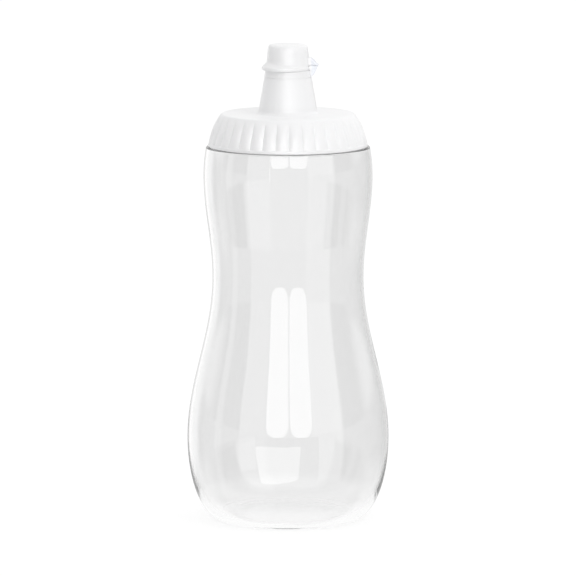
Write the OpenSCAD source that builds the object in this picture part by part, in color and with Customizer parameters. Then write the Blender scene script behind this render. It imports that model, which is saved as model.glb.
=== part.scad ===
// Dispensing sauce bottle with a screw lid and a flip cap, in millimetres.
// The origin is the centre of the base on the table, Z is up and +X points to the flip cap's hinge.

/* [Bottle] */
// Outer radius of the flat ring that the bottle stands on
base_r = 26; // [23:0.5:29]
// Width of the flat ring that the bottle stands on
foot_w = 3.5; // [2:0.5:6]
// Depth of the hollow under the base
pushup_depth = 1.5; // [0.5:0.1:2.5]
// Thickness of the base
base_t = 3; // [2:0.1:4]
// How far the inner corner of the heel stands inside the outer one
heel_inset = 2; // [1:0.1:3]
// Radius of the belly, the widest part of the bottle
belly_r = 39.1; // [36:0.1:42]
// Height of the belly above the table
belly_z = 31.7; // [26:0.1:38]
// Radius of the waist that the hand holds
waist_r = 29.3; // [27:0.1:32]
// Height from the belly up to the waist
waist_rise = 63.1; // [50:0.1:75]
// Radius of the shoulder under the lid
shoulder_r = 32.7; // [31.5:0.1:35]
// Height from the waist up to the shoulder
shoulder_rise = 39.6; // [30:0.1:50]
// Radius of the ledge that the lid comes down to
ledge_r = 31.75; // [30.5:0.05:33]
// Height from the shoulder up to the ledge
ledge_rise = 10.9; // [8:0.1:14]
// Radius of the ledge's rounded edge
ledge_round = 1.5; // [0.5:0.1:3]
// Thickness of the bottle's wall
wall = 1.6; // [1:0.1:2.2]

/* [Neck] */
// Radius of the bottle's mouth
mouth_r = 21.1; // [18:0.1:22]
// Thickness of the neck's wall
neck_wall = 1.5; // [1:0.1:2]
// Height of the neck above the ledge
neck_h = 10.2; // [9:0.1:12]
// Radius of the hollow corner between the ledge and the neck
neck_fillet = 0.6; // [0.2:0.1:0.9]
// Size of the chamfer on the neck's top edge
mouth_chamfer = 0.3; // [0.1:0.1:0.6]

/* [Screw thread] */
// Height that the lid rises in one turn
thread_lead = 4.23; // [3.8:0.01:5]
// How far the ridge stands out of its wall
thread_depth = 1; // [0.8:0.05:1.2]
// Width of the ridge at its crest
thread_crest = 1.1; // [0.8:0.05:1.3]
// Angle between each flank of the ridge and the horizontal
thread_flank = 30; // [15:1:35]
// Length of each ridge in turns
thread_turns = 1.25; // [1:0.05:1.4]
// Height of the neck ridge's lower end above the ledge
thread_start = 2; // [1.6:0.1:2.4]
// Clearance between the neck and the lid all over the thread
thread_gap = 0.3; // [0.2:0.05:0.4]

/* [Seal ring] */
// Thickness of the seal ring
seal_t = 1.2; // [0.8:0.1:2]
// How far the seal ring reaches in over the mouth
seal_lip = 0.5; // [0:0.1:1.5]
// Clearance between the seal ring and the lid's sleeve
seal_gap = 0.3; // [0.1:0.05:0.6]

/* [Screw lid] */
// Gap between the ledge and the lid's rim
rim_gap = 0.45; // [0.3:0.05:1]
// How far the lid's rim stands inside the ledge's edge
rim_step = 0.9; // [0.4:0.1:1.5]
// Thickness of the grip skirt
skirt_t = 1.5; // [1:0.1:1.8]
// How far the skirt's outline swells out past a straight line
skirt_swell = 0.9; // [0.4:0.1:1.5]
// Thickness of the sleeve that carries the lid's thread
sleeve_t = 1.4; // [1:0.1:1.8]
// How far the top plate's edge stands outside the sleeve
plate_margin = 0.4; // [0.2:0.1:1]
// Thickness of the top plate
plate_t = 1.6; // [1.2:0.1:2.2]
// Radius of the top plate's rounded edge
plate_round = 1.2; // [0.4:0.1:1.2]
// Depth of the web that joins the skirt and the sleeve below the top plate
web_t = 1; // [0.6:0.1:2]

/* [Grip grooves] */
// Number of grooves round the skirt
groove_count = 36; // [24:1:42]
// Depth of a groove near the rim
groove_depth = 0.5; // [0.2:0.05:0.7]
// Width of a groove near the rim
groove_w = 1.3; // [0.6:0.1:1.8]
// Angle from the hinge's side to the first groove
groove_turn = 1; // [0:0.5:9]
// Height of the plain band between the rim and the grooves
rim_band = 1; // [0.5:0.1:2]
// Height below the top plate's surface at which the grooves have run out
groove_fade = 1.5; // [1:0.1:3]

/* [Nozzle] */
// Radius of the nozzle where it meets the top plate
nozzle_r = 11.5; // [10.5:0.1:14]
// Height from the top plate to the top of the hinge collar
nozzle_rise = 16.65; // [14:0.05:20]
// Radius of the hollow corner round the nozzle's foot
nozzle_fillet = 1.7; // [0.8:0.1:2.5]
// Thickness of the nozzle's wall at its foot
nozzle_wall = 1.8; // [1.4:0.1:2]
// Thickness of the nozzle's wall behind the hinge collar
groove_wall = 1.4; // [1:0.1:1.6]
// Radius of the tip at its lower end
tip_r = 6.6; // [6:0.1:7.2]
// Radius of the tip at its upper end
tip_end_r = 5.75; // [5:0.05:6.2]
// Height of the tip above the hinge collar
tip_h = 7.55; // [6.5:0.05:9]
// Thickness of the tip's wall and of its end
tip_wall = 1.5; // [1.2:0.1:1.8]
// Radius of the tip's rounded edge
tip_round = 0.8; // [0.3:0.1:1.2]
// Radius of the pouring hole
orifice_r = 1.5; // [1:0.1:2]
// Depth of the countersunk seat round the pouring hole
seat_depth = 1.1; // [0.8:0.1:1.1]
// How much wider the seat is at its top than the pouring hole
seat_flare = 0.9; // [0.9:0.1:1.3]

/* [Flip cap] */
// Thickness of the flip cap's side wall
cap_wall = 1.15; // [0.9:0.05:1.5]
// Thickness of the flip cap's top
cap_top_t = 1.1; // [0.9:0.1:1.6]
// Space between the tip and the flip cap's side wall
tip_gap = 0.7; // [0.6:0.05:1]
// Space between the tip's end and the flip cap's top
head_gap = 1.4; // [1:0.1:2]
// Gap between the hinge collar and the closed flip cap
cap_gap = 0.25; // [0.2:0.05:0.5]
// Radius of the flip cap's rounded top edge
cap_round = 1.2; // [0.6:0.1:1.6]
// Thickness of the flip cap's flange
flange_t = 1.3; // [0.9:0.1:1.6]
// How far the thumb tab sticks out of the flip cap
tab_reach = 1.68; // [1:0.04:2.6]
// Height of the flare above the flange
flare_h = 1.4; // [0.8:0.1:2.4]
// Clearance between the plug and its seat
plug_gap = 0.15; // [0.1:0.05:0.3]

/* [Hinge] */
// Distance from the flip cap's rim out to the hinge axis
hinge_reach = 2.95; // [2.4:0.05:3.6]
// Height of the hinge axis above the flip cap's rim
hinge_rise = 1.9; // [1.6:0.1:2.4]
// Width of the hinge
hinge_w = 5.5; // [4:0.5:7]
// Radius of the round fold on the hinge axis
fold_r = 0.4; // [0.3:0.05:0.5]
// Height of the upper ear's root above the hinge axis
ear_rise = 3; // [2:0.1:4]
// Angle of the slit between the two ears
slit_angle = 3; // [1:0.5:8]
// Height of the hinge collar
collar_h = 2.55; // [2.2:0.05:3]
// Depth of the groove that holds the hinge collar
collar_depth = 0.95; // [0.7:0.05:1.1]
// How far the hinge collar stands outside the flip cap's rim
collar_step = 0.25; // [0:0.05:0.5]
// Height of the snap bead over the groove
snap_depth = 0.25; // [0.1:0.05:0.3]
// Clearance between the hinge collar and the nozzle, and round the fold
fit_gap = 0.05; // [0.03:0.01:0.1]

/* [Hidden] */
$fn = 96;

// Steps along the curves of the bottle's outline, and round small corners
blend_steps = 16;
heel_steps = 12;
dish_steps = 6;
skirt_steps = 6;
corner_steps = 4;
// Steps of a ridge in one turn, and the length of its run-out in steps
ridge_steps = 48;
runout_steps = 6;
// How far a ridge reaches into the wall that carries it
ridge_root = 0.3;
// How far cutters reach past the faces that they cut
over = 1;
// How many groove depths a groove's cutter measures from its edge outwards
groove_reach = 3;

// Heights of the bottle, from the table up
waist_z = belly_z + waist_rise;
shoulder_z = waist_z + shoulder_rise;
ledge_z = shoulder_z + ledge_rise;
mouth_z = ledge_z + neck_h;
neck_r = mouth_r + neck_wall;
neck_crest_r = neck_r + thread_depth;

// The screw lid comes down on the seal ring
plate_low_z = mouth_z + seal_t;
plate_z = plate_low_z + plate_t;
rim_z = ledge_z + rim_gap;
rim_r = ledge_r - rim_step;
sleeve_r = neck_crest_r + thread_gap;
sleeve_out_r = sleeve_r + sleeve_t;
plate_r = sleeve_out_r + plate_margin;
seal_r = sleeve_r - seal_gap;

// The skirt's outline is one arc from the rim to the plate's edge
skirt_chord = norm([rim_r - plate_r, plate_z - rim_z]);
skirt_arc_r = pow(skirt_chord, 2) / (8 * skirt_swell) + skirt_swell / 2;
skirt_lean = atan2(rim_r - plate_r, plate_z - rim_z);
skirt_low_angle = skirt_lean - asin(skirt_chord / (2 * skirt_arc_r));
skirt_x = rim_r - skirt_arc_r * cos(skirt_low_angle);
skirt_z = rim_z - skirt_arc_r * sin(skirt_low_angle);

// The thread's ridges: the lid's ridge bears up against the underside of the neck's ridge
flank_run = tan(thread_flank);
ridge_half = thread_crest / 2;
ridge_overlap = thread_depth - thread_gap;
ridge_offset = 2 * ridge_half + ridge_overlap * flank_run + thread_gap;
neck_ridge_z = ledge_z + thread_start;
lid_ridge_z = neck_ridge_z - thread_gap;
lid_ridge_angle = 360 * (lid_ridge_z + ridge_offset - neck_ridge_z) / thread_lead;

// The nozzle, from the top plate up to its tip
collar_top_z = plate_z + nozzle_rise;
collar_low_z = collar_top_z - collar_h;
cap_r = tip_r + tip_gap + cap_wall;
collar_top_r = cap_r + collar_step;
nozzle_slope = (nozzle_r - collar_top_r) / nozzle_rise;
groove_r = collar_top_r - collar_depth + nozzle_slope * collar_h;
snap_r = groove_r + snap_depth;
tip_z = collar_top_z + tip_h;
seat_r = orifice_r + seat_flare;
bore_r = nozzle_r - nozzle_wall;
bore_top_r = groove_r - groove_wall;
tip_bore_r = tip_end_r - tip_wall;

// The flip cap, closed
cap_z = collar_top_z + cap_gap;
cap_in_z = tip_z + head_gap;
cap_top_z = cap_in_z + cap_top_t;
cap_end_r = tip_end_r + tip_gap + cap_wall;
cap_lean = atan2(cap_r - cap_end_r, cap_top_z - cap_z);
flange_r = cap_r + tab_reach / 2;
plug_r = seat_r - plug_gap / cos(atan2(seat_flare, seat_depth));

// The hinge axis runs along Y through this point
hinge_x = cap_r + hinge_reach;
hinge_z = cap_z + hinge_rise;
ear_low_r = nozzle_radius(collar_low_z + snap_depth);

// Radius of the nozzle's cone at a height
function nozzle_radius(z) = nozzle_r - nozzle_slope * (z - plate_z);

// Radius of the flip cap's side at a height
function cap_radius(z) = cap_r + (cap_end_r - cap_r) * (z - cap_z) / (cap_top_z - cap_z);

// Points of an arc round a centre, from one angle to another
function arc(x, z, r, from, to, first = 0) =
    [for (i = [first:corner_steps])
        let (a = from + (to - from) * i / corner_steps)
            [x + r * cos(a), z + r * sin(a)]];

// Points of a smooth wave from one radius and height to the next
function wave(r0, z0, r1, z1) =
    [for (i = [1:blend_steps])
        let (t = i / blend_steps)
            [r0 + (r1 - r0) * (1 - cos(180 * t)) / 2, z0 + (z1 - z0) * t]];

// Points of the dish under or over the base, from the axis outwards
function dish(r, z) =
    [for (i = [0:dish_steps])
        let (t = i / dish_steps)
            [r * t, z + pushup_depth * (1 - t * t)]];

// Points of the bottle's side from above the foot of its heel up to the shoulder, moved in by a thickness
function side(foot_r, foot_z, inset) =
    concat(
        [for (i = [1:heel_steps])
            let (a = 90 - 90 * i / heel_steps)
                [foot_r + (belly_r - inset - foot_r) * cos(a), belly_z - (belly_z - foot_z) * sin(a)]],
        wave(belly_r - inset, belly_z, waist_r - inset, waist_z),
        wave(waist_r - inset, waist_z, shoulder_r - inset, shoulder_z));

// Points from the shoulder up to the rounded edge of the ledge, moved in by a thickness
function shoulder(inset, round_r) =
    let (top_r = ledge_r - inset, top_z = ledge_z - inset)
        concat(
            [for (i = [1:corner_steps - 1])
                let (t = i / corner_steps)
                    [shoulder_r - inset + (top_r - shoulder_r + inset) * t * t,
                     shoulder_z + (top_z - round_r - shoulder_z) * t]],
            arc(top_r - round_r, top_z - round_r, round_r, 0, 90));

// Points of a list, from the last to the first
function reversed(points) = [for (i = [len(points) - 1:-1:0]) points[i]];

// A screw ridge on a wall of radius r, which stands out by depth, or in where depth is negative
module ridge(r, depth, z, angle) {
    steps = round(thread_turns * ridge_steps);
    side_sign = sign(depth);
    root_half = ridge_half + (abs(depth) + ridge_root) * flank_run;
    points = [
        for (i = [0:steps])
            let (a = angle + 360 * thread_turns * i / steps,
                 h = z + thread_lead * thread_turns * i / steps,
                 grow = min(1, (i + 1) / runout_steps, (steps - i + 1) / runout_steps),
                 low = r - side_sign * ridge_root,
                 crest = r + depth * grow,
                 crest_half = root_half - abs(crest - low) * flank_run)
                for (p = [[low, -root_half], [crest, -crest_half], [crest, crest_half], [low, root_half]])
                    [p[0] * cos(a), p[0] * sin(a), h + p[1]]];
    walls = [
        for (i = [0:steps - 1], k = [0:3])
            let (a = 4 * i + k, b = 4 * i + (k + 1) % 4)
                each [[a, a + 4, b], [b, a + 4, b + 4]]];
    last = 4 * steps;
    caps = [[0, 1, 2], [0, 2, 3], [last, last + 2, last + 1], [last, last + 3, last + 2]];
    faces = concat(walls, caps);
    polyhedron(points, depth < 0 ? faces : [for (f = faces) [f[0], f[2], f[1]]]);
}

// The bottle: belly, waist, shoulder, ledge, neck and its thread
module bottle() {
    outside = concat(
        dish(base_r - foot_w, 0),
        [[base_r, 0]],
        side(base_r, 0, 0),
        shoulder(0, ledge_round),
        arc(neck_r + neck_fillet, ledge_z + neck_fillet, neck_fillet, 270, 180),
        [[neck_r, mouth_z - mouth_chamfer], [neck_r - mouth_chamfer, mouth_z], [mouth_r, mouth_z]]);
    inside = concat(
        dish(base_r - heel_inset, base_t),
        side(base_r - heel_inset, base_t, wall),
        shoulder(wall, ledge_round + wall),
        [[mouth_r, ledge_z - wall]]);
    color([0.86, 0.9, 0.92, 0.45]) {
        rotate_extrude()
            polygon(concat(outside, reversed(inside)));
        ridge(neck_r, thread_depth, neck_ridge_z, 0);
    }
}

// The soft ring between the neck's top and the lid's plate
module seal_ring() {
    color([0.82, 0.84, 0.82])
        translate([0, 0, mouth_z])
            difference() {
                cylinder(h = seal_t, r = seal_r);
                translate([0, 0, -over])
                    cylinder(h = seal_t + 2 * over, r = mouth_r - seal_lip);
            }
}

// Outline of the lid's outside, from the rim up to the nozzle's foot
function lid_outside() =
    let (inner_r = skirt_arc_r - plate_round,
         edge_angle = asin((plate_z - plate_round - skirt_z) / inner_r),
         foot_r = nozzle_radius(plate_z + nozzle_fillet))
        concat(
            [for (i = [0:skirt_steps])
                let (a = skirt_low_angle + (edge_angle - skirt_low_angle) * i / skirt_steps)
                    [skirt_x + skirt_arc_r * cos(a), skirt_z + skirt_arc_r * sin(a)]],
            arc(skirt_x + inner_r * cos(edge_angle), plate_z - plate_round, plate_round, edge_angle, 90, 1),
            arc(foot_r + nozzle_fillet, plate_z + nozzle_fillet, nozzle_fillet, 270, 180));

// Outline of the nozzle's outside above its foot: the collar's groove, the snap bead, the tip and the hole
function nozzle_outside() =
    let (bead_z = collar_top_z - snap_depth)
        concat(
            [[nozzle_radius(collar_low_z), collar_low_z],
             [groove_r, collar_low_z],
             [groove_r, bead_z - 2 * snap_depth],
             [snap_r, bead_z - snap_depth],
             [snap_r, bead_z],
             [groove_r, collar_top_z],
             [tip_r, collar_top_z]],
            arc(tip_end_r - tip_round, tip_z - tip_round, tip_round, 0, 90),
            [[seat_r, tip_z], [orifice_r, tip_z - seat_depth]]);

// Outline of the lid's inside, from the pouring hole down through the sleeve to the rim
function lid_inside() =
    let (low_z = rim_z + rim_gap,
         inner_r = skirt_arc_r - skirt_t,
         web_z = plate_low_z - web_t,
         web_angle = asin((web_z - skirt_z) / inner_r),
         rim_angle = asin((rim_z - skirt_z) / inner_r))
        concat(
            [[orifice_r, tip_z - tip_wall],
             [tip_bore_r, tip_z - tip_wall],
             [tip_r - tip_wall, collar_top_z],
             [bore_top_r, collar_low_z],
             [bore_r, plate_low_z],
             [sleeve_r, plate_low_z],
             [sleeve_r, low_z],
             [sleeve_out_r, low_z],
             [sleeve_out_r, web_z]],
            [for (i = [0:skirt_steps])
                let (a = web_angle + (rim_angle - web_angle) * i / skirt_steps,
                     x = skirt_x + inner_r * cos(a))
                    if (x > sleeve_out_r)
                        [x, skirt_z + inner_r * sin(a)]]);

// Radius of the skirt's outline at a height
function skirt_radius(z) = skirt_x + sqrt(pow(skirt_arc_r, 2) - pow(z - skirt_z, 2));

// One grip groove on the +X side: a straight notch that starts above the rim and runs out below the plate
module grip_groove() {
    low_z = rim_z + rim_band;
    high_z = plate_z - groove_fade;
    low_r = skirt_radius(low_z) - groove_depth;
    high_r = skirt_radius(high_z);
    reach = groove_reach * groove_depth;
    half_w = groove_reach * groove_w / 2;
    translate([low_r, 0, low_z])
        rotate([0, -atan2(low_r - high_r, high_z - low_z), 0])
            linear_extrude(height = norm([low_r - high_r, high_z - low_z]))
                polygon([[0, 0], [reach, half_w], [reach, -half_w]]);
}

// The screw lid: grip skirt, top plate, threaded sleeve and nozzle in one moulding
module screw_lid() {
    color([0.95, 0.95, 0.94]) {
        difference() {
            rotate_extrude()
                polygon(concat(lid_outside(), nozzle_outside(), lid_inside()));
            for (i = [0:groove_count - 1])
                rotate([0, 0, groove_turn + 360 * i / groove_count])
                    grip_groove();
        }
        ridge(sleeve_r, -thread_depth, lid_ridge_z, lid_ridge_angle);
    }
}

// The space that the nozzle takes inside the hinge collar
module collar_bore() {
    bead_z = collar_top_z - snap_depth;
    rotate_extrude()
        polygon([[0, collar_low_z - over],
                 [groove_r + fit_gap, collar_low_z - over],
                 [groove_r + fit_gap, bead_z - 2 * snap_depth],
                 [snap_r + fit_gap, bead_z - snap_depth],
                 [snap_r + fit_gap, collar_top_z + over],
                 [0, collar_top_z + over]]);
}

// A plate of the hinge's width with an outline in X and Z
module hinge_plate(outline) {
    translate([0, hinge_w / 2, 0])
        rotate([90, 0, 0])
            linear_extrude(height = hinge_w)
                polygon(outline);
}

// The round space of the fold on the hinge axis
module fold_space(gap) {
    translate([hinge_x, hinge_w / 2 + over, hinge_z])
        rotate([90, 0, 0])
            cylinder(h = hinge_w + 2 * over, r = fold_r + gap);
}

// The collar clipped round the nozzle, with the lower ear of the hinge
module hinge_collar() {
    ear_in_x = cap_r + collar_step;
    ear_drop = (hinge_x - ear_in_x) * tan(slit_angle * 2);
    color([0.93, 0.94, 0.96])
        difference() {
            union() {
                translate([0, 0, collar_low_z])
                    cylinder(h = collar_h, r1 = nozzle_radius(collar_low_z), r2 = collar_top_r);
                hinge_plate([[hinge_x, hinge_z],
                             [ear_in_x, hinge_z - ear_drop],
                             [ear_in_x, collar_top_z],
                             [groove_r - snap_depth, collar_top_z],
                             [groove_r - snap_depth, collar_low_z + snap_depth],
                             [ear_low_r, collar_low_z + snap_depth]]);
            }
            collar_bore();
            fold_space(fit_gap);
        }
}

// The fold of the hinge strap, a round bead on the hinge axis
module hinge_film() {
    color([0.84, 0.87, 0.95])
        translate([hinge_x, hinge_w / 2, hinge_z])
            rotate([90, 0, 0])
                cylinder(h = hinge_w, r = fold_r);
}

// The flip cap: side wall, top, flange with thumb tab, plug and the upper ear of the hinge
module flip_cap() {
    ear_top_r = cap_radius(hinge_z + ear_rise);
    ear_drop = (hinge_x - cap_r) * tan(slit_angle);
    color([0.96, 0.96, 0.95]) {
        difference() {
            union() {
                rotate_extrude()
                    polygon(concat([[0, cap_z], [cap_r, cap_z]],
                                   arc(cap_end_r - cap_round, cap_top_z - cap_round, cap_round, cap_lean, 90),
                                   [[0, cap_top_z]]));
                translate([-tab_reach / 2, 0, cap_z])
                    cylinder(h = flange_t, r = flange_r);
                translate([-tab_reach / 2, 0, cap_z + flange_t])
                    cylinder(h = flare_h, r1 = flange_r, r2 = flange_r - tab_reach);
                hinge_plate([[hinge_x, hinge_z],
                             [ear_top_r, hinge_z + ear_rise],
                             [cap_r - cap_wall, hinge_z + ear_rise],
                             [cap_r - cap_wall, hinge_z - ear_drop],
                             [cap_r, hinge_z - ear_drop]]);
            }
            rotate_extrude()
                polygon([[0, cap_z - over],
                         [cap_r - cap_wall, cap_z - over],
                         [cap_r - cap_wall, cap_z],
                         [cap_end_r - cap_wall, cap_in_z],
                         [0, cap_in_z]]);
            fold_space(fit_gap);
        }
        translate([0, 0, tip_z - seat_depth])
            cylinder(h = seat_depth, r1 = plug_r - seat_flare, r2 = plug_r);
        translate([0, 0, tip_z])
            cylinder(h = cap_in_z - tip_z + cap_top_t / 2, r = plug_r);
    }
}

bottle();
seal_ring();
screw_lid();
hinge_collar();
hinge_film();
flip_cap();
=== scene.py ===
"""Dressed model of a clear squeeze bottle with a white screw lid and a flip cap, as in the photograph."""

import math

import bpy
import numpy as np
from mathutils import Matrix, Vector


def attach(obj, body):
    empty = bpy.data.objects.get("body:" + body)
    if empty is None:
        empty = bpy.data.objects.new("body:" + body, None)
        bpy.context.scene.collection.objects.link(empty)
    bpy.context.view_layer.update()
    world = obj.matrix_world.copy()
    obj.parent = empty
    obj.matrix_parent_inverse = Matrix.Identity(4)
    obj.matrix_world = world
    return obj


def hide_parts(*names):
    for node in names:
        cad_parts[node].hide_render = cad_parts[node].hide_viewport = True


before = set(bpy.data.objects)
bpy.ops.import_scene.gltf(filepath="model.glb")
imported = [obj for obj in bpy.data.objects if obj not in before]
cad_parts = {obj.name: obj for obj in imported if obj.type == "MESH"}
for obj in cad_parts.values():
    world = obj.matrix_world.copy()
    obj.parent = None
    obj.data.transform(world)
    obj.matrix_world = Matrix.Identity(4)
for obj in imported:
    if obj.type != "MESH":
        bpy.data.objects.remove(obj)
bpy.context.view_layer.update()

# Sizes of the object in millimetres. The outside is that of the CAD model, apart from the ledge's edge and
# the rounder petals of the lid. The clear wall, base, heel and ledge are thinner than in the CAD model.
BASE_R = 26.0
FOOT_W = 3.5
PUSHUP = 1.5
BASE_T = 1.8
HEEL_INSET = 1.3
BELLY_R = 39.1
BELLY_Z = 31.7
WAIST_R = 29.3
WAIST_Z = 94.8
SHOULDER_R = 32.7
SHOULDER_Z = 134.4
LEDGE_R = 31.75
LEDGE_Z = 145.3
LEDGE_CORNER = 0.5
LEDGE_WALL = 0.35
WALL = 1.0
MOUTH_R = 21.1
NECK_R = 22.6
MOUTH_Z = 155.5
MOUTH_CHAMFER = 0.3
LIP_ROUND = 0.5
NECK_FILLET = 0.6
INNER_ROUND = 0.4
THREAD_LEAD = 4.23
THREAD_DEPTH = 1.0
THREAD_CREST = 1.1
THREAD_TURNS = 1.25
THREAD_START = 2.0
THREAD_GAP = 0.3
FLANK = math.tan(math.radians(30))
SEAL_T = 1.2
SEAL_R = 23.6
SEAL_IN_R = 20.6
SEAL_ROUND = 0.3
RIM_Z = 145.75
RIM_R = 30.85
SKIRT_T = 1.5
SKIRT_SWELL = 0.9
SLEEVE_R = 23.9
SLEEVE_T = 1.4
PLATE_R = 25.7
PLATE_T = 1.6
PLATE_Z = 158.3
PLATE_ROUND = 1.2
WEB_T = 1.0
GROOVES = 36
GROOVE_DEPTH = 0.5
GROOVE_BELLY = 0.38
PETAL_SHAPE = 2.3
GROOVE_TURN = 1.0
RIM_BAND = 1.0
GROOVE_FADE = 0.6
NOZZLE_R = 11.5
NOZZLE_TOP_R = 8.7
NOZZLE_TOP_Z = 174.95
NOZZLE_FILLET = 1.7
NOZZLE_WALL = 1.8
BORE_STEP = 1.4
COLLAR_H = 2.55
COLLAR_DEPTH = 0.95
SNAP = 0.25
TIP_R = 6.6
TIP_END_R = 5.75
TIP_Z = 182.5
TIP_WALL = 1.5
TIP_ROUND = 0.8
ORIFICE_R = 1.5
SEAT_DEPTH = 1.1
SEAT_FLARE = 0.9
CAP_R = 8.45
CAP_END_R = 7.6
CAP_WALL = 1.15
CAP_Z = 175.2
CAP_IN_Z = 183.9
CAP_TOP_Z = 185.0
CAP_ROUND = 1.2
FLANGE_T = 1.3
FLARE_H = 1.4
FLANGE_EDGE = 0.22
TAB_REACH = 1.68
PLUG_R = 2.206
HINGE_X = 11.4
HINGE_Z = 177.1
HINGE_W = 5.5
FOLD_R = 0.4
EAR_RISE = 3.0
EAR_EDGE = 0.14
EAR_SLOPE = math.tan(math.radians(3))

# The nozzle's cone loses this much radius for each millimetre of height
NOZZLE_SLOPE = (NOZZLE_R - NOZZLE_TOP_R) / (NOZZLE_TOP_Z - PLATE_Z)
# Lower end and radius of the groove in which the collar's band sits
COLLAR_Z = NOZZLE_TOP_Z - COLLAR_H
COLLAR_IN_R = NOZZLE_TOP_R - COLLAR_DEPTH + NOZZLE_SLOPE * COLLAR_H

# Angles of the columns round a plain turned piece
ROUND_STEPS = 192
ROUND_ANGLES = np.arange(ROUND_STEPS) * 2 * math.pi / ROUND_STEPS

# Rows along the neck and along the sleeve, where the screw ridges stand
RIDGE_ROWS = 56
# Share of a turn over which a ridge rises at its two ends
RUN_OUT = 0.12
# Share of its full depth to which a ridge rises, so the two ridges keep clear of each other
RIDGE_SHARE = 0.98


# Shapes

def line(start, end, steps):
    """Points from start towards end in equal steps, without the end itself."""
    t = np.arange(steps)[:, None] / steps
    return np.array(start, float) * (1 - t) + np.array(end, float) * t


def arc(centre, radius, start, end, steps):
    """Points of a circle round centre between two angles in degrees, both ends among them."""
    a = np.radians(np.linspace(start, end, steps + 1))
    return np.stack([centre[0] + radius * np.cos(a), centre[1] + radius * np.sin(a)], 1)


def wave(low, high, steps):
    """Half a cosine wave from the point low to the point high, without its last point."""
    t = np.arange(steps) / steps
    r = low[0] + (high[0] - low[0]) * (1 - np.cos(np.pi * t)) / 2
    return np.stack([r, low[1] + (high[1] - low[1]) * t], 1)


def dish(radius, z, steps):
    """A shallow dome under or over the base: its height falls with the square of the radius."""
    t = np.arange(steps) / steps
    return np.stack([radius * t, z + PUSHUP * (1 - t * t)], 1)


def heel(foot, inset, steps):
    """A quarter of an ellipse from the foot point out to the belly's widest place."""
    a = np.radians(90 * (1 - np.arange(steps) / steps))
    r = foot[0] + (BELLY_R - inset - foot[0]) * np.cos(a)
    return np.stack([r, BELLY_Z - (BELLY_Z - foot[1]) * np.sin(a)], 1)


def shoulder(inset, top_z, steps):
    """The shoulder's curve up to the ledge's rounded corner: the radius shrinks with the height squared."""
    t = np.arange(steps) / steps
    r = SHOULDER_R - inset + (LEDGE_R - SHOULDER_R) * t * t
    return np.stack([r, SHOULDER_Z + (top_z - SHOULDER_Z) * t], 1)


def turned(profile, angles=ROUND_ANGLES):
    """A profile of radii and heights turned round the Z axis, as grids of radii, heights and angles with one
    row for each point and one column for each angle."""
    r = profile[:, :1] * np.ones(len(angles))
    return r, np.repeat(profile[:, 1:], len(angles), 1), np.broadcast_to(angles, r.shape)


def placed(r, z, a):
    """Points of grids of radii, heights and angles: x is r cos(a) and y is r sin(a)."""
    return np.stack([r * np.cos(a), r * np.sin(a), z], 2)


def ridge_height(angle, z, start_z, start_angle):
    """Height of a screw ridge over its wall: a trapezium round a helix that climbs by the lead at each turn,
    fading in and out over a share of a turn at its two ends."""
    half = THREAD_CREST / 2 + THREAD_DEPTH * FLANK
    height = np.zeros_like(z)
    for turn in range(3):
        along = np.mod(angle - start_angle, 2 * math.pi) / (2 * math.pi) + turn
        off = np.abs(z - start_z - THREAD_LEAD * along)
        fade = np.clip(np.minimum(along, THREAD_TURNS - along) / RUN_OUT, 0, 1)
        height = np.maximum(height, np.clip((half - off) / FLANK, 0, THREAD_DEPTH * fade))
    return height * RIDGE_SHARE


def linked(name, data):
    """A new object at the origin that shows the data."""
    made = bpy.data.objects.new(name, data)
    bpy.context.scene.collection.objects.link(made)
    return made


def skin(name, points, body, node, material, closed_rows=False, sharp=40):
    """Joins a grid of points in millimetres into one closed mesh. Rows whose points all coincide become one
    pole. The faces are turned outwards by the sign of the volume that they enclose."""
    rows, columns = points.shape[:2]
    pole = np.ptp(points, axis=1).max(1) < 1e-6
    counts = np.where(pole, 1, columns)
    starts = np.concatenate([[0], np.cumsum(counts)[:-1]])
    index = starts[:, None] + np.where(pole[:, None], 0, np.arange(columns))
    vertices = np.concatenate([points[i, :counts[i]] for i in range(rows)]) * 0.001
    upper = np.roll(index, -1, 0) if closed_rows else index[1:]
    lower = index if closed_rows else index[:-1]
    quads = np.stack([lower, np.roll(lower, -1, 1), np.roll(upper, -1, 1), upper], 2).reshape(-1, 4)
    triangle = (quads[:, 0] == quads[:, 1]) | (quads[:, 2] == quads[:, 3])
    fans = quads[triangle]
    fans = np.where((fans[:, 0] == fans[:, 1])[:, None], fans[:, [0, 2, 3]], fans[:, [0, 1, 2]])
    quads = quads[~triangle]
    a, b, c, d = (vertices[quads[:, corner]] for corner in range(4))
    volume = np.sum(a * np.cross(b, c)) + np.sum(a * np.cross(c, d))
    f = vertices[fans]
    volume += np.sum(f[:, 0] * np.cross(f[:, 1], f[:, 2]))
    if volume < 0:
        quads, fans = quads[:, ::-1], fans[:, ::-1]
    mesh = bpy.data.meshes.new(name)
    mesh.from_pydata(vertices.tolist(), [], quads.tolist() + fans.tolist())
    mesh.polygons.foreach_set("use_smooth", np.ones(len(mesh.polygons), bool))
    mesh.set_sharp_from_angle(angle=math.radians(sharp))
    mesh.materials.append(material)
    piece = linked(name, mesh)
    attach(piece, body)
    if node:
        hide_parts(node)


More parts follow.
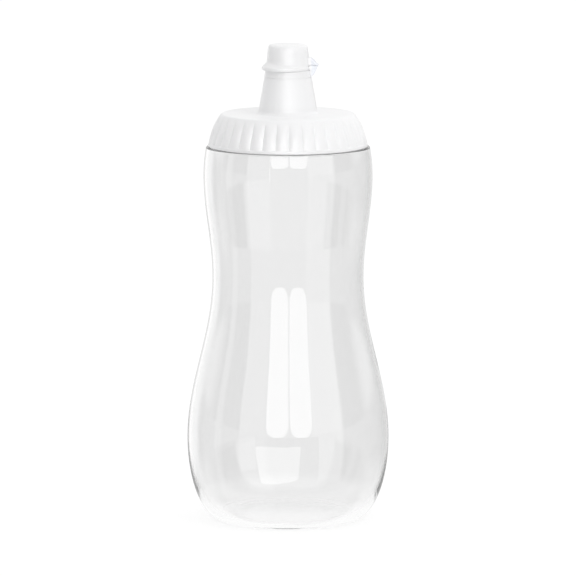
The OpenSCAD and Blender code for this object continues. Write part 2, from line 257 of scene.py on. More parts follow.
def plate_across(outline, width, edge):
    """A plate across the Y axis with a rounded edge: the outline in X and Z is drawn in towards its middle by
    a quarter circle as it nears each side face."""
    a = np.radians(np.linspace(0, 90, 6))
    inset = np.concatenate([edge * (1 - np.sin(a)), edge * (1 - np.sin(a[::-1]))])
    y = np.concatenate([-width / 2 + edge * (1 - np.cos(a)), width / 2 - edge * (1 - np.cos(a[::-1]))])
    middle = outline.mean(0)
    reach = np.linalg.norm(outline - middle, axis=1)
    share = 1 - inset[:, None] / reach
    x = middle[0] + (outline[:, 0] - middle[0]) * share
    z = middle[1] + (outline[:, 1] - middle[1]) * share
    rows = np.stack([x, np.repeat(y[:, None], len(outline), 1), z], 2)
    faces = (-width / 2, width / 2)
    near, far = (np.tile([middle[0], face, middle[1]], (1, len(outline), 1)) for face in faces)
    return np.concatenate([near, rows, far])


def filled_out(corners, steps):
    """A closed outline with each side cut into equal steps."""
    sides = zip(corners, corners[1:] + corners[:1])
    return np.concatenate([line(start, end, steps) for start, end in sides])


def bottle_wall():
    """The bottle as one wall with real thickness: foot, heel, belly, waist, shoulder, ledge and threaded neck
    outside, then the mouth and the inner wall back down to the floor."""
    neck_foot_r = NECK_R + NECK_FILLET
    outside = np.concatenate([
        dish(BASE_R - FOOT_W, 0, 8),
        line((BASE_R - FOOT_W, 0), (BASE_R, 0), 3),
        heel((BASE_R, 0), 0, 40),
        wave((BELLY_R, BELLY_Z), (WAIST_R, WAIST_Z), 56),
        wave((WAIST_R, WAIST_Z), (SHOULDER_R, SHOULDER_Z), 44),
        shoulder(0, LEDGE_Z - LEDGE_CORNER, 9),
        arc((LEDGE_R - LEDGE_CORNER, LEDGE_Z - LEDGE_CORNER), LEDGE_CORNER, 0, 90, 7),
        line((neck_foot_r + 6, LEDGE_Z), (neck_foot_r, LEDGE_Z), 3),
        arc((neck_foot_r, LEDGE_Z + NECK_FILLET), NECK_FILLET, 270, 180, 4),
    ])
    neck = np.concatenate([
        line((NECK_R, LEDGE_Z + 0.8), (NECK_R, MOUTH_Z - LIP_ROUND), RIDGE_ROWS),
        arc((NECK_R - LIP_ROUND, MOUTH_Z - LIP_ROUND), LIP_ROUND, 0, 90, 4),
        arc((MOUTH_R + MOUTH_CHAMFER, MOUTH_Z - MOUTH_CHAMFER), MOUTH_CHAMFER, 90, 180, 3),
    ])
    floor_r = BASE_R - HEEL_INSET
    under_ledge = LEDGE_Z - LEDGE_WALL
    inside = np.concatenate([
        dish(floor_r, BASE_T, 8),
        heel((floor_r, BASE_T), WALL, 40),
        wave((BELLY_R - WALL, BELLY_Z), (WAIST_R - WALL, WAIST_Z), 56),
        wave((WAIST_R - WALL, WAIST_Z), (SHOULDER_R - WALL, SHOULDER_Z), 44),
        shoulder(WALL, under_ledge - INNER_ROUND, 9),
        arc((LEDGE_R - WALL - INNER_ROUND, under_ledge - INNER_ROUND), INNER_ROUND, 0, 90, 6),
        line((30.0, under_ledge), (MOUTH_R + INNER_ROUND, under_ledge), 4),
        arc((MOUTH_R + INNER_ROUND, under_ledge + INNER_ROUND), INNER_ROUND, 270, 180, 3),
    ])
    r, z, a = turned(np.concatenate([outside, neck, inside[::-1]]))
    rows = slice(len(outside), len(outside) + RIDGE_ROWS)
    r[rows] += ridge_height(a[rows], z[rows], LEDGE_Z + THREAD_START, 0.0)
    return placed(r, z, a)


def skirt_outline():
    """Centre, radius and lowest angle of the skirt's outer arc, which swells over its chord from the rim to
    the plate."""
    chord = math.hypot(RIM_R - PLATE_R, PLATE_Z - RIM_Z)
    radius = chord ** 2 / (8 * SKIRT_SWELL) + SKIRT_SWELL / 2
    low = math.atan2(RIM_R - PLATE_R, PLATE_Z - RIM_Z) - math.asin(chord / (2 * radius))
    return RIM_R - radius * math.cos(low), RIM_Z - radius * math.sin(low), radius, math.degrees(low)


def petal_angles():
    """Angles of the lid's columns: each groove's line falls on a column, with the columns packed near it."""
    share = np.array([0, 0.035, 0.075, 0.125, 0.19, 0.3, 0.5, 0.7, 0.81, 0.875, 0.925, 0.965])
    turns = (np.arange(GROOVES)[:, None] + share) / GROOVES
    return turns.ravel() * 2 * math.pi + math.radians(GROOVE_TURN)


def petal_depth(a, z):
    """How far the skirt sinks at an angle and a height: the groove's depth, deepest halfway up and running
    out at the plate, times a power of how near the next groove is."""
    low, high = RIM_Z + RIM_BAND, PLATE_Z - GROOVE_FADE
    t = np.clip((z - low) / (high - low), 0, 1)
    depth = (GROOVE_DEPTH + GROOVE_BELLY * np.sin(np.pi * t)) * (1 - t ** 5)
    depth = depth * np.clip((z - low) / 0.25, 0, 1)
    pitch = 2 * math.pi / GROOVES
    off = np.mod(a - math.radians(GROOVE_TURN) + pitch / 2, pitch) - pitch / 2
    return depth * (1 - np.abs(off) / (pitch / 2)) ** PETAL_SHAPE


def lid_shell():
    """The lid as one closed wall: the fluted skirt, the plate, the nozzle with the collar's groove, the tip
    and its hole, then the channel, the threaded sleeve and the skirt's inside."""
    sx, sz, sr, low = skirt_outline()
    edge_r = sr - PLATE_ROUND
    edge = math.degrees(math.asin((PLATE_Z - PLATE_ROUND - sz) / edge_r))
    band = math.degrees(math.asin((RIM_Z + RIM_BAND - sz) / sr))
    foot_r = NOZZLE_R - NOZZLE_SLOPE * NOZZLE_FILLET
    cone_r = NOZZLE_R - NOZZLE_SLOPE * (COLLAR_Z - PLATE_Z)
    groove_r = COLLAR_IN_R
    skirt = np.concatenate([
        arc((sx, sz), sr, low, band, 3)[:-1],
        arc((sx, sz), sr, band, band + 0.9, 4)[:-1],
        arc((sx, sz), sr, band + 0.9, edge, 22)[:-1],
    ])
    edge_x = sx + edge_r * math.cos(math.radians(edge))
    plate_edge = arc((edge_x, PLATE_Z - PLATE_ROUND), PLATE_ROUND, edge, 90, 8)
    outside = np.concatenate([
        plate_edge,
        line((24.0, PLATE_Z), (foot_r + NOZZLE_FILLET + 0.8, PLATE_Z), 4),
        arc((foot_r + NOZZLE_FILLET, PLATE_Z + NOZZLE_FILLET), NOZZLE_FILLET, 270, 180, 10),
        line((foot_r, PLATE_Z + NOZZLE_FILLET + 0.2), (cone_r, COLLAR_Z - 0.1), 8),
        [[cone_r - 0.08, COLLAR_Z], [groove_r + 0.06, COLLAR_Z], [groove_r, COLLAR_Z + 0.06]],
        line((groove_r, COLLAR_Z + 0.3), (groove_r, NOZZLE_TOP_Z - 3 * SNAP), 2),
        [[groove_r, NOZZLE_TOP_Z - 3 * SNAP], [groove_r + SNAP, NOZZLE_TOP_Z - 2 * SNAP]],
        [[groove_r + SNAP, NOZZLE_TOP_Z - SNAP], [groove_r, NOZZLE_TOP_Z]],
        [[TIP_R + 0.4, NOZZLE_TOP_Z], [TIP_R + 0.1, NOZZLE_TOP_Z + 0.12]],
        line((TIP_R, NOZZLE_TOP_Z + 0.4), (TIP_END_R, TIP_Z - TIP_ROUND), 5),
        arc((TIP_END_R - TIP_ROUND, TIP_Z - TIP_ROUND), TIP_ROUND, 0, 90, 6),
        line((4.4, TIP_Z), (ORIFICE_R + SEAT_FLARE, TIP_Z), 3),
        line((ORIFICE_R + SEAT_FLARE, TIP_Z), (ORIFICE_R, TIP_Z - SEAT_DEPTH), 3),
    ])
    bore_top = groove_r - BORE_STEP
    tip_in_z = TIP_Z - TIP_WALL
    under_plate = PLATE_Z - PLATE_T
    channel = np.concatenate([
        [[ORIFICE_R, TIP_Z - SEAT_DEPTH], [ORIFICE_R, tip_in_z]],
        line((ORIFICE_R + 0.2, tip_in_z), (TIP_END_R - TIP_WALL, tip_in_z), 3),
        line((TIP_END_R - TIP_WALL, tip_in_z), (TIP_R - TIP_WALL, NOZZLE_TOP_Z), 4),
        line((TIP_R - TIP_WALL, NOZZLE_TOP_Z), (bore_top, COLLAR_Z), 3),
        line((bore_top, COLLAR_Z), (NOZZLE_R - NOZZLE_WALL, under_plate), 6),
        line((NOZZLE_R - NOZZLE_WALL, under_plate), (SLEEVE_R, under_plate), 5),
    ])
    sleeve_end = RIM_Z + 0.45
    sleeve = line((SLEEVE_R, under_plate), (SLEEVE_R, sleeve_end), RIDGE_ROWS)
    sleeve_out_r = SLEEVE_R + SLEEVE_T
    inner_r = sr - SKIRT_T
    web_z = under_plate - WEB_T
    web = math.degrees(math.asin((web_z - sz) / inner_r))
    rim = math.degrees(math.asin((RIM_Z - sz) / inner_r))
    skirt_inside = arc((sx, sz), inner_r, web, rim, 8)
    inside = np.concatenate([
        [[SLEEVE_R, sleeve_end], [sleeve_out_r, sleeve_end]],
        line((sleeve_out_r, RIM_Z + 0.7), (sleeve_out_r, web_z), 4),
        [[sleeve_out_r, web_z]],
        skirt_inside[skirt_inside[:, 0] > sleeve_out_r + 0.02],
    ])
    r, z, a = turned(np.concatenate([skirt, outside, channel, sleeve, inside]), petal_angles())
    rows = slice(0, len(skirt) + len(plate_edge))
    r[rows] -= petal_depth(a[rows], z[rows])
    rows = slice(len(r) - len(inside) - RIDGE_ROWS, len(r) - len(inside))
    start_z = LEDGE_Z + THREAD_START - THREAD_GAP
    offset = THREAD_CREST + (THREAD_DEPTH - THREAD_GAP) * FLANK + THREAD_GAP
    start_angle = 2 * math.pi * (offset - THREAD_GAP) / THREAD_LEAD
    r[rows] -= ridge_height(a[rows], z[rows], start_z, start_angle)
    return placed(r, z, a)


def side_radius(z):
    """Radius of the flip cap's tapered side at a height."""
    return CAP_R + (CAP_END_R - CAP_R) * (z - CAP_Z) / (CAP_TOP_Z - CAP_Z)


def cap_shell():
    """The flip cap: its tapered side with a rounded top, the flange that grows off centre into the thumb tab
    on the left, and inside it the hollow and the plug. The outline at each height is the softened larger of
    the side's circle and the off-centre flange's circle, as a distance from the cap's axis at each angle."""
    lean = math.degrees(math.atan2(CAP_R - CAP_END_R, CAP_TOP_Z - CAP_Z))
    top = np.concatenate([
        line((0, CAP_TOP_Z), (CAP_END_R - CAP_ROUND, CAP_TOP_Z), 5),
        arc((CAP_END_R - CAP_ROUND, CAP_TOP_Z - CAP_ROUND), CAP_ROUND, 90, lean, 8),
    ])
    flange_z = CAP_Z + FLANGE_T
    flare_z = flange_z + FLARE_H
    side_z = np.concatenate([
        np.linspace(CAP_TOP_Z - CAP_ROUND - 0.5, flare_z + 0.2, 10),
        np.linspace(flare_z, flange_z, 9),
        np.linspace(flange_z - 0.12, CAP_Z + 0.25, 5),
    ])
    side = np.stack([side_radius(side_z), side_z], 1)
    lip = [[CAP_R, CAP_Z + 0.12], [CAP_R - 0.08, CAP_Z + 0.03], [CAP_R - 0.2, CAP_Z]]
    hollow_r = CAP_R - CAP_WALL
    seat_z = TIP_Z - SEAT_DEPTH
    hollow = np.concatenate([
        [[hollow_r + 0.1, CAP_Z], [hollow_r, CAP_Z + 0.1]],
        line((hollow_r, CAP_Z + 0.3), (CAP_END_R - CAP_WALL, CAP_IN_Z - 0.3), 8),
        arc((CAP_END_R - CAP_WALL - 0.3, CAP_IN_Z - 0.3), 0.3, 0, 90, 4),
        line((5.6, CAP_IN_Z), (PLUG_R + 0.3, CAP_IN_Z), 3),
        arc((PLUG_R + 0.3, CAP_IN_Z - 0.3), 0.3, 90, 180, 3),
        line((PLUG_R, CAP_IN_Z - 0.4), (PLUG_R, TIP_Z), 3),
        line((PLUG_R, TIP_Z), (PLUG_R - SEAT_FLARE + 0.1, seat_z + 0.12), 4),
        line((PLUG_R - SEAT_FLARE - 0.02, seat_z), (0, seat_z), 3),
        [[0, seat_z]],
    ])
    r, z, a = turned(np.concatenate([top, side, lip, hollow]))
    rows = slice(len(top), len(top) + len(side) + len(lip))
    body, height = r[rows], z[rows]
    tall = np.clip((height - flange_z) / FLARE_H, 0, 1)
    sink = np.clip(1 - (flange_z - height) / FLANGE_EDGE, 0, 1)
    rounding = np.where(tall > 0, 1 - tall, 1 - np.sqrt(1 - sink ** 2))
    drawn = TAB_REACH * tall + 5 * np.clip(height - flare_z, 0, 1) + FLANGE_EDGE * rounding
    drawn = drawn + 0.1 * np.clip((CAP_Z + 0.12 - height) / 0.12, 0, 1) ** 2
    circle = CAP_R + TAB_REACH / 2 - drawn
    off = -TAB_REACH / 2
    flange = off * np.cos(a[rows]) + np.sqrt(circle ** 2 - (off * np.sin(a[rows])) ** 2)
    soft = 0.25 * np.clip((height - CAP_Z) / 2, 0, 1)
    r[rows] = (flange + body + np.sqrt((flange - body) ** 2 + soft ** 2)) / 2
    return placed(r, z, a)


def upper_ear():
    """The flip cap's half of the hinge: a wedge from the cap's side to the fold, rounded along its edges."""
    low = HINGE_Z - (HINGE_X - CAP_R) * EAR_SLOPE
    high = HINGE_Z + EAR_RISE
    corners = [(HINGE_X, HINGE_Z + 0.05), (HINGE_X - 0.5, HINGE_Z + 0.75), (10.3, HINGE_Z + 1.75),
               (9.3, HINGE_Z + 2.5), (side_radius(high), high), (7.4, high), (7.35, low), (CAP_R, low)]
    return plate_across(filled_out(corners, 4), HINGE_W, EAR_EDGE)


def lower_ear():
    """The collar's half of the hinge: a wedge from the band to the fold, rounded along its edges. Its inner
    face follows the circle of the flip cap's flange beside it."""
    high = HINGE_Z - (HINGE_X - NOZZLE_TOP_R) * EAR_SLOPE - 0.03
    corners = [(HINGE_X, HINGE_Z - 0.02), (NOZZLE_TOP_R, high), (NOZZLE_TOP_R - 0.1, NOZZLE_TOP_Z),
               (8.0, NOZZLE_TOP_Z), (8.25, 172.7), (9.1, 172.7), (10.2, 173.9), (10.95, 175.3),
               (11.35, 176.5)]
    ear = plate_across(filled_out(corners, 4), HINGE_W, EAR_EDGE)
    flange_x = np.sqrt((CAP_R + TAB_REACH / 2 + 0.06) ** 2 - ear[:, :, 1] ** 2) - TAB_REACH / 2
    beside = (ear[:, :, 0] < NOZZLE_TOP_R + 0.2) & (ear[:, :, 2] > NOZZLE_TOP_Z + 0.1)
    ear[:, :, 0] = np.where(beside, np.minimum(ear[:, :, 0], flange_x), ear[:, :, 0])
    return ear


def collar_band():
    """The band clipped round the nozzle: a turned ring with rounded lips that follows the nozzle's cone."""
    inner = COLLAR_IN_R + 0.05
    low_r = NOZZLE_TOP_R + NOZZLE_SLOPE * COLLAR_H
    return placed(*turned(np.concatenate([
        [[low_r - 0.1, COLLAR_Z], [low_r - 0.02, COLLAR_Z + 0.05]],
        line((low_r - 0.02, COLLAR_Z + 0.15), (NOZZLE_TOP_R, NOZZLE_TOP_Z), 6),
        [[NOZZLE_TOP_R - 0.01, CAP_Z - 0.13], [NOZZLE_TOP_R - 0.08, CAP_Z - 0.06]],
        [[NOZZLE_TOP_R - 0.5, CAP_Z - 0.06], [NOZZLE_TOP_R - 0.55, NOZZLE_TOP_Z + 0.03]],
        [[inner + SNAP + 0.04, NOZZLE_TOP_Z + 0.02], [inner + SNAP, NOZZLE_TOP_Z - 0.05]],
        [[inner + SNAP, NOZZLE_TOP_Z - 2 * SNAP], [inner, NOZZLE_TOP_Z - 3 * SNAP]],
        line((inner, NOZZLE_TOP_Z - 3.4 * SNAP), (inner, COLLAR_Z + 0.05), 3),
        [[inner + 0.05, COLLAR_Z]],
    ])))


def hinge_fold():
    """The fold of the strap: a bead along Y with rounded ends, its radius the root of what is left of a
    circle."""
    sides = 40
    y = HINGE_W / 2 * np.sin(np.radians(np.linspace(-90, 90, 15)))
    ends = np.clip((HINGE_W / 2 - np.abs(y)) / 0.3, 0, 1)
    r = FOLD_R * np.sqrt(1 - (1 - ends) ** 2)
    a = np.arange(sides) * 2 * math.pi / sides
    x = HINGE_X + r[:, None] * np.cos(a)
    z = HINGE_Z + r[:, None] * np.sin(a)
    return np.stack([x, np.repeat(y[:, None], sides, 1), z], 2)


def seal_disc():
    """The soft ring on the neck's top: a turned flat ring with rounded edges."""
    low, high = MOUTH_Z + SEAL_ROUND, MOUTH_Z + SEAL_T - SEAL_ROUND
    outer, inner = SEAL_R - SEAL_ROUND, SEAL_IN_R + SEAL_ROUND
    corners = [(outer, high, 90, 0), (outer, low, 0, -90), (inner, low, 270, 180), (inner, high, 180, 90)]
    profile = [arc((r, z), SEAL_ROUND, start, end, 3) for r, z, start, end in corners]
    return placed(*turned(np.concatenate(profile)))


# Finishes

class Wire:
    """An output socket that can be used in Python expressions; each operation adds a Math node."""

    def __init__(self, recipe, socket):
        self.recipe = recipe
        self.socket = socket

    def math(self, operation, *values):
        return self.recipe.node("ShaderNodeMath", {"operation": operation}, dict(enumerate(values)))

    def __add__(self, other):
        return self.math("ADD", self, other)

    def __mul__(self, other):
        return self.math("MULTIPLY", self, other)


class Recipe:
    """Builds one node tree. node() adds any node from its type, its settings and its sockets' values or
    wires."""

    def __init__(self, owner):
        owner.use_nodes = True
        self.tree = owner.node_tree
        self.tree.nodes.clear()

    def node(self, kind, settings=None, sockets=None, output=0):
        made = self.tree.nodes.new(kind)
        for name, value in (settings or {}).items():
            if name == "stops":
                while len(made.color_ramp.elements) < len(value):
                    made.color_ramp.elements.new(1.0)
                for element, (place, tone) in zip(made.color_ramp.elements, value):
                    element.position = place
                    element.color = tone
            else:
                setattr(made, name, value)
        for name, value in (sockets or {}).items():
            if isinstance(value, Wire):
                self.tree.links.new(value.socket, made.inputs[name])
            else:
                made.inputs[name].default_value = value
        return Wire(self, made.outputs[output]) if made.outputs else None

    def place(self):
        """The shaded point in the object's own coordinates."""
        return self.node("ShaderNodeTexCoord", output="Object")

    def axis(self, vector, name):
        """One coordinate of a vector."""
        return self.node("ShaderNodeSeparateXYZ", {}, {0: vector}, name)

    def ray(self, kind):
        """1 where the ray is of one kind, such as a camera ray, and 0 elsewhere."""
        return self.node("ShaderNodeLightPath", output=kind)

    def noise(self, scale, detail=2.0, distortion=0.0, where=None):
        """Soft noise between 0 and 1."""
        return self.node("ShaderNodeTexNoise", {}, {
            "Vector": where or self.place(), "Scale": scale, "Detail": detail, "Distortion": distortion})

    def mixed(self, share, first, second):
        """The first colour where the share is 0, the second where it is 1."""
        return self.node("ShaderNodeMix", {"data_type": "RGBA"}, {0: share, 6: first, 7: second}, 2)

    def ramp(self, value, stops):
        """Colours between stops, each a place from 0 to 1 and a colour."""
        return self.node("ShaderNodeValToRGB", {"stops": stops}, {"Fac": value})

    def rise(self, value, low, high):
        """A smooth step from 0 at the low value to 1 at the high one, which may also lie below it."""
        return self.node("ShaderNodeMapRange", {"interpolation_type": "SMOOTHSTEP"}, {
            "Value": value, "From Min": low, "From Max": high}, "Result")

    def bump(self, height, distance, normal=None):
        """Normals of a surface raised by the height times the distance in metres."""
        sockets = {"Height": height, "Distance": distance, "Strength": 1.0}
        if normal:
            sockets["Normal"] = normal
        return self.node("ShaderNodeBump", {}, sockets)

    def plastic(self, sockets):
        """The principled shader as the surface."""
        self.surface(self.node("ShaderNodeBsdfPrincipled", {}, sockets))

    def matt(self, tone):
        """A diffuse shader."""
        return self.node("ShaderNodeBsdfDiffuse", {}, {"Color": tone})

    def glow(self, strength):
        """A white light-giving shader."""
        return self.node("ShaderNodeEmission", {}, {"Color": grey(1.0), "Strength": strength})

    def chosen(self, share, first, second):
        """The first shader where the share is 0, the second where it is 1."""
        return self.node("ShaderNodeMixShader", {}, {0: share, 1: first, 2: second})

    def surface(self, shader):
        """Makes the shader the surface of the material."""
        self.node("ShaderNodeOutputMaterial", {}, {"Surface": shader})


def colour(r, g, b):
    """An opaque colour."""
    return (r, g, b, 1.0)


def grey(level):
    """An opaque neutral colour."""
    return (level, level, level, 1.0)


def new_material(name):
    """An empty material and the recipe that builds its nodes."""
    material = bpy.data.materials.new(name)
    return material, Recipe(material)


# White plastic lets a little light in under its surface, and its reflections are weak
SOFT_WHITE = {
    "IOR": 1.49, "Specular IOR Level": 0.3,
    "Subsurface Weight": 0.15, "Subsurface Radius": (0.004, 0.004, 0.004), "Subsurface Scale": 0.4}


def clear_plastic():
    """Clear blown plastic: slightly smoky, with painted shade that darkens it where it is seen edge on and
    painted light that makes it nearly clear low in the heel, with slow ripples from blowing and faint scuffs
    that dull the gloss."""
    material, make = new_material("clear_bottle_plastic")
    # Painted shade: the tint grows darker where the wall is seen edge on, standing in for the dark edges that
    # reflections give
    edge = make.node("ShaderNodeLayerWeight", {}, {"Blend": 0.5}, "Facing")
    tint_with_painted_light_and_shade = make.ramp(edge, [(0.0, grey(0.908)), (0.7, grey(0.908)), (0.9, grey(0.9)), (0.97, grey(0.88))])
    cloud = make.noise(26.0, 1.0)
    tint_with_painted_light_and_shade = make.mixed(cloud * 0.12, tint_with_painted_light_and_shade, colour(0.86, 0.86, 0.865))
    # Painted light: below 6 to 12 mm the tint turns nearly clear, so the heel and base look brighter
    height = make.axis(make.place(), "Z")
    tint_with_painted_light_and_shade = make.mixed(make.rise(height, 0.012, 0.006), tint_with_painted_light_and_shade, grey(0.98))
    scuffs = make.noise(900.0, 3.0, 1.5)
    wear = make.ramp(make.noise(60.0, 3.0), [(0.45, grey(0.0)), (0.75, grey(1.0))])
    rough = scuffs * wear * 0.03 + 0.006
    ripple = make.bump(make.noise(34.0, 1.0), 0.00008)
    grain = make.bump(scuffs, 0.0000003, ripple)
    make.plastic({
        "Base Color": tint_with_painted_light_and_shade, "Roughness": rough, "Normal": grain, "IOR": 1.5, "Transmission Weight": 1.0})
    return material


def white_plastic(name, scale):
    """Moulded white plastic: a faint cloudy tone, a fine spark-eroded grain, and gloss that varies a little
    where hands have polished it."""
    material, make = new_material(name)
    cloud = make.noise(90.0 * scale, 3.0)
    flow = make.noise(420.0 * scale, 2.0, 2.0)
    base = make.mixed(cloud * 0.7 + flow * 0.3, colour(0.9, 0.9, 0.905), colour(0.8775, 0.8775, 0.882375))
    grain = make.noise(3800.0, 2.0)
    handled = make.noise(55.0, 2.0)
    rough = handled * 0.1 + grain * 0.05 + 0.27
    normal = make.bump(grain, 0.000004, make.bump(flow, 0.00001))
    make.plastic({"Base Color": base, "Roughness": rough, "Normal": normal, **SOFT_WHITE})
    return material


def strap_plastic():
    """Plastic of the hinge: white on the band round the nozzle, cooler and a little darker in the thin strap
    beside it, with stress whitening as fine streaks across the fold."""
    material, make = new_material("hinge_strap_plastic")
    where = make.node("ShaderNodeMapping", {}, {"Vector": make.place(), "Scale": (1.0, 0.15, 1.0)})
    streaks = make.noise(2600.0, 2.0, 0.5, where)
    cloud = make.noise(300.0, 2.0)
    thin = make.mixed(streaks * 0.6 + cloud * 0.4, colour(0.77, 0.79, 0.84), colour(0.83, 0.85, 0.9))
    band = make.mixed(cloud, colour(0.9, 0.9, 0.905), colour(0.87, 0.87, 0.875))
    base = make.mixed(make.rise(make.axis(make.place(), "X"), 0.0084, 0.0094), band, thin)
    rough = cloud * 0.12 + 0.24
    normal = make.bump(streaks, 0.000012)
    make.plastic({"Base Color": base, "Roughness": rough, "Normal": normal, **SOFT_WHITE})
    return material


def soft_rubber():
    """Soft grey-white sealing rubber: matt, with a fine grain and darker specks of filler."""
    material, make = new_material("seal_rubber")
    stops = [(0.35, colour(0.62, 0.64, 0.62)), (0.5, colour(0.8, 0.81, 0.8))]
    specks = make.ramp(make.noise(2200.0, 2.0), stops)
    base = make.mixed(make.noise(200.0, 2.0) * 0.5, specks, colour(0.74, 0.75, 0.74))
    grain = make.noise(5200.0, 2.0)
    make.plastic({"Base Color": base, "Roughness": grain * 0.15 + 0.55, "Normal": make.bump(grain, 0.000012)})
    return material


# Studio

def pale_floor():
    """The floor: a disc of plain white. What the camera sees of it is mostly its own white, and the rest is
    the light that falls there, so the bottle keeps a faint shadow."""
    material, make = new_material("floor_white")
    seen = make.node("ShaderNodeAddShader", {}, {0: make.matt(grey(0.14)), 1: make.glow(0.9)})
    near = make.chosen(make.ray("Is Camera Ray"), make.matt(grey(0.85)), seen)
    make.surface(make.chosen(make.ray("Is Transmission Ray"), near, make.glow(1.0)))
    sides = 64
    rings = np.array([0.2, 1.0, 4.0, 12.0])
    a = np.arange(sides) * 2 * math.pi / sides
    x, y = rings[:, None] * np.cos(a), rings[:, None] * np.sin(a)
    points = np.concatenate([[[0, 0, 0]], np.stack([x.ravel(), y.ravel(), np.zeros(x.size)], 1)])
    first = np.arange(sides) + 1
    fans = np.stack([np.zeros(sides, int), first, np.roll(first, -1)], 1)
    ring = first + np.arange(len(rings) - 1)[:, None] * sides
    wider = ring + sides
    quads = np.stack([ring, wider, np.roll(wider, -1, 1), np.roll(ring, -1, 1)], 2).reshape(-1, 4)
    mesh = bpy.data.meshes.new("floor")
    mesh.from_pydata((points - [0, 0, 0.00005]).tolist(), [], fans.tolist() + quads.tolist())
    mesh.materials.append(material)
    floor = linked("floor", mesh)
    floor.visible_glossy = False


def card(name, y, corners, strength, corner=(0.0, 0.0), steps=8):
    """A flat light card across the Y axis that only reflections see. Its outline runs along the straight
    sides between four corners in X and Z, given anticlockwise, and turns each corner on a quarter ellipse of
    the two corner sizes."""
    p = np.array([(x, y, z) for x, z in corners], float) * 0.001
    cu = corner[0] * 0.001 / np.linalg.norm(p[1] - p[0])
    cv = corner[1] * 0.001 / np.linalg.norm(p[3] - p[0])
    a = np.radians(np.linspace(0, 90, steps + 1))
    quarter = [(1 - cu + cu * np.cos(a), 1 - cv + cv * np.sin(a)),
               (cu - cu * np.sin(a), 1 - cv + cv * np.cos(a)),
               (cu - cu * np.cos(a), cv - cv * np.sin(a)),
               (1 - cu + cu * np.sin(a), cv - cv * np.cos(a))]
    u, v = (np.concatenate([turn[i] for turn in quarter])[:, None] for i in range(2))
    points = p[0] * (1 - u) * (1 - v) + p[1] * u * (1 - v) + p[2] * u * v + p[3] * (1 - u) * v
    mesh = bpy.data.meshes.new(name)
    mesh.from_pydata(points.tolist(), [], [list(range(len(points)))])
    material, make = new_material(name + "_light")
    make.surface(make.glow(strength))
    mesh.materials.append(material)
    made = linked(name, mesh)
    made.visible_camera = False
    made.visible_diffuse = False
    made.visible_transmission = False
    made.visible_volume_scatter = False
    made.visible_shadow = False


def studio_world():
    """White all round for the camera and behind the bottle. Reflections see a room by azimuth, where 0 lies
    towards the camera and 90 to the photo's right: lit in front, brighter from 28 to 65 degrees, dark on
    both sides with a dim strip at the left, and bright behind on the left. Soft light comes mostly from above
    and a little more from the photo's right."""
    world = bpy.data.worlds.new("studio")
    bpy.context.scene.world = world
    make = Recipe(world)
    way = make.node("ShaderNodeTexCoord", output="Generated")
    x, y, z = (make.axis(way, name) for name in "XYZ")
    soft = x * 0.13 + z * 0.48 + 0.645
    around = x.math("ARCTAN2", x, y * -1.0) * (0.5 / math.pi) + 0.5
    levels = [(-180, 0.4), (-160, 0.4), (-154, 0.8), (-131, 0.8), (-121, 0.07), (-94, 0.07), (-92, 0.45),
              (-84, 0.45), (-82, 0.07), (-59, 0.07), (-57, 0.68), (26, 0.68), (28, 0.96), (65, 0.96),
              (68, 0.07), (145, 0.07), (165, 0.4)]
    room = make.ramp(around, [(azimuth / 360 + 0.5, grey(level)) for azimuth, level in levels]) * 1.7
    room = make.mixed(make.rise(z, -0.40, -0.47) * make.rise(y, 0.2, -0.1), room, grey(0.45))
    room = make.mixed(make.rise(z, -0.16, -0.35) * make.rise(y, 0.1, 0.4), room, grey(1.0))
    room = make.mixed(make.rise(z, 0.0, 0.08) * make.rise(y, 0.1, 0.4), room, grey(1.0))
    beyond = make.mixed(make.rise(y, 0.0, 0.35), room, grey(1.0))
    level = make.mixed(make.ray("Is Glossy Ray"), soft, room)
    level = make.mixed(make.ray("Is Transmission Ray"), level, beyond)
    level = make.mixed(make.ray("Is Camera Ray"), level, grey(1.0))
    background = make.node("ShaderNodeBackground", {}, {"Color": level, "Strength": 1.0})
    make.node("ShaderNodeOutputWorld", {}, {"Surface": background})


def soft_lamp(name, place, size, power):
    """A square soft lamp that faces the lid. Reflections show the light cards instead of it."""
    data = bpy.data.lights.new(name, "AREA")
    data.shape = "SQUARE"
    data.size = size
    data.energy = power
    lamp = linked(name, data)
    spot = Vector(place)
    lamp.location = spot
    lamp.rotation_mode = "QUATERNION"
    lamp.rotation_quaternion = (spot - Vector((0, 0, 0.1))).to_track_quat("Z", "Y")
    lamp.visible_camera = False
    lamp.visible_glossy = False
    lamp.visible_transmission = False


def photo_camera():
    """A long lens a little above the lid, tipped down towards the waist."""
    data = bpy.data.cameras.new("photo_camera")
    data.lens = 358.1
    data.sensor_width = 36.0
    camera = linked("photo_camera", data)
    camera.location = (0.0, -2.2, 0.4002)
    camera.rotation_euler = (math.radians(90 - 8.023), 0.0, 0.0)
    bpy.context.scene.camera = camera


bottle_finish = clear_plastic()
lid_finish = white_plastic("white_lid_plastic", 1.0)
cap_finish = white_plastic("white_cap_plastic", 1.4)
strap_finish = strap_plastic()
seal_finish = soft_rubber()

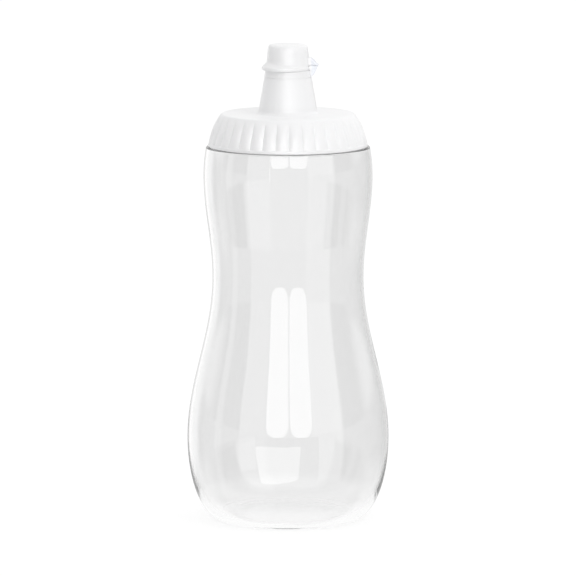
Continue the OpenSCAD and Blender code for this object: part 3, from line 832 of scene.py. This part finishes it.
skin("bottle_wall", bottle_wall(), "bottle", "bottle", bottle_finish, sharp=60)
skin("lid_shell", lid_shell(), "lid", "screw_lid", lid_finish, closed_rows=True, sharp=30)
skin("cap_shell", cap_shell(), "cap", "flip_cap", cap_finish)
skin("cap_hinge_ear", upper_ear(), "cap", None, strap_finish)
skin("collar_band", collar_band(), "lid", "hinge_collar", strap_finish, closed_rows=True)
skin("collar_hinge_ear", lower_ear(), "lid", None, strap_finish)
skin("hinge_fold", hinge_fold(), "lid", "hinge_film", strap_finish)
skin("seal_disc", seal_disc(), "seal", "seal_ring", seal_finish, closed_rows=True)

pale_floor()
studio_world()
soft_lamp("key_lamp", (0.9, -0.9, 1.1), 0.7, 3.5)

# Light cards in millimetres: distance in Y, corners in X and Z, strength and corner sizes. The two softboxes
# stand far in front, the upper ones light the shoulder and the lower ones the belly.
SOFTBOX_Y = -568
UPPER_Y = -80
LOWER_Y = -98
BRIGHT = 4.4
card("left_softbox", SOFTBOX_Y, [(-262, 22), (5, 22), (5, 500), (-262, 500)], BRIGHT, (110, 60))
card("right_softbox", SOFTBOX_Y, [(19, 22), (290, 22), (290, 500), (19, 500)], BRIGHT, (110, 60))
card("upper_shade", UPPER_Y - 2, [(-30, 108), (34, 108), (34, 168), (-30, 168)], 1.15)
card("upper_left_glow", UPPER_Y, [(-27.5, 145), (0.2, 145), (0.2, 190), (-27.5, 190)], BRIGHT, (9, 5))
card("upper_right_glow", UPPER_Y, [(2.2, 145), (31.5, 145), (31.5, 190), (2.2, 190)], BRIGHT, (9, 5))
card("lower_shade", LOWER_Y - 2, [(-61, -90), (62, -90), (56, 36), (-61, 36)], 0.45)
card("lower_left_shade", LOWER_Y - 2, [(-400, -160), (-61, -160), (-61, -3), (-400, -97)], 0.45)
card("lower_left_glow", LOWER_Y, [(-49.4, -20.7), (0, -12), (0, 28), (-60.5, 26)], 2.7, (14, 3))
card("lower_right_glow", LOWER_Y, [(-4, -12.5), (16.4, -9), (20.3, 28), (-1, 28)], 2.7, (4, 3))
photo_camera()
bpy.context.scene.view_settings.view_transform = "Standard"
# Light turns many times inside a clear wall before it leaves
bpy.context.scene.cycles.max_bounces = 40
bpy.context.scene.cycles.transmission_bounces = 40
bpy.context.scene.cycles.glossy_bounces = 32
